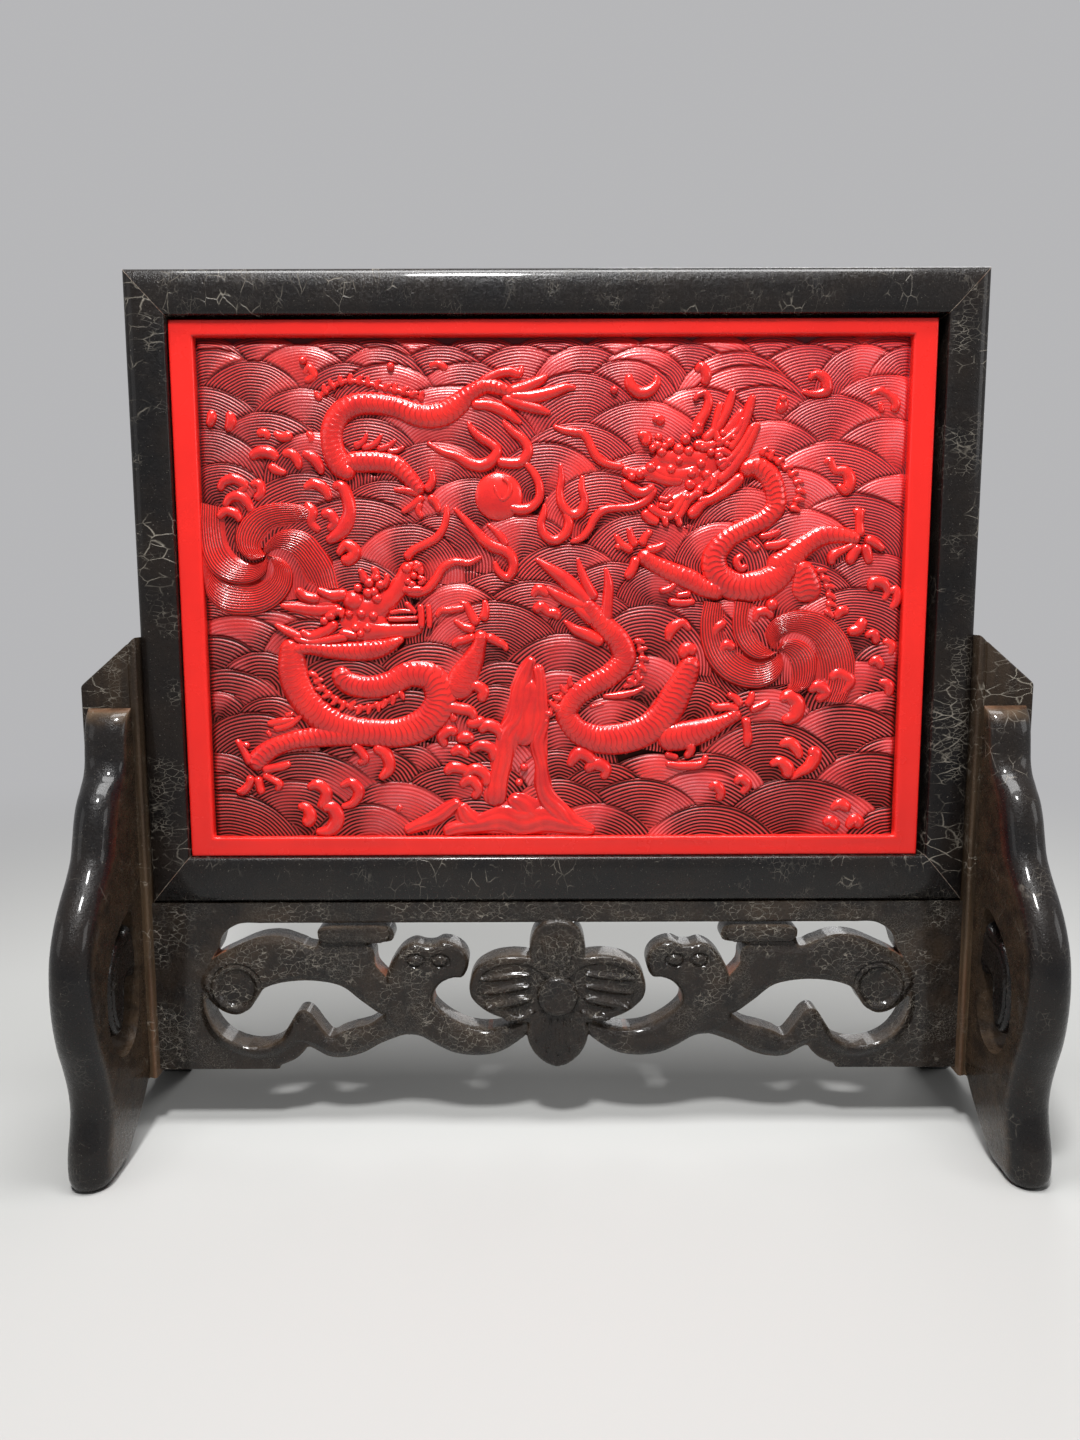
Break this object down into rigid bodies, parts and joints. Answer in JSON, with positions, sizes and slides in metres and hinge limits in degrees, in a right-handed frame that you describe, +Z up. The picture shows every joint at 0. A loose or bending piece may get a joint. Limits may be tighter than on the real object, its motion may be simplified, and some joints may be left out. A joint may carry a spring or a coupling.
{
  "type": "table screen",
  "caption": "Table screen: a black lacquer frame holding a carved red lacquer plaque, which lifts out of a stand with posts, scrolled legs and a pierced apron.",
  "frame": {"origin": "on the table, under the middle of the stand", "axes": "+X along the width to the right as seen from the front, +Y from the front to the back, +Z up"},
  "size_m": [0.454, 0.1582, 0.4161],
  "materials": {
    "black_lacquer": "semi-gloss black lacquer with fine age cracks, brown where it is rubbed",
    "red_lacquer": "glossy carved vermilion lacquer, darker in the cuts",
    "core_wood": "bare sawn wood",
    "bamboo": "bare bamboo"
  },
  "bodies": {
    "stand": {"pierced_apron": "black_lacquer", "left_post": "black_lacquer", "right_post": "black_lacquer", "front_left_leg": "black_lacquer", "front_right_leg": "black_lacquer", "rear_left_leg": "black_lacquer", "rear_right_leg": "black_lacquer", "leg_dowels": "bamboo"},
    "screen": {"frame_top_rail": "black_lacquer", "frame_bottom_rail": "black_lacquer", "frame_left_stile": "black_lacquer", "frame_right_stile": "black_lacquer", "frame_corner_pegs": "bamboo", "back_board": "black_lacquer", "plaque_core": "core_wood", "carved_lacquer": "red_lacquer"}
  },
  "joints": [
    {"name": "screen_lift", "type": "slide", "parent": "stand", "child": "screen", "axis": [0, 0, 1], "range_m": [0, 0.14]}
  ]
}
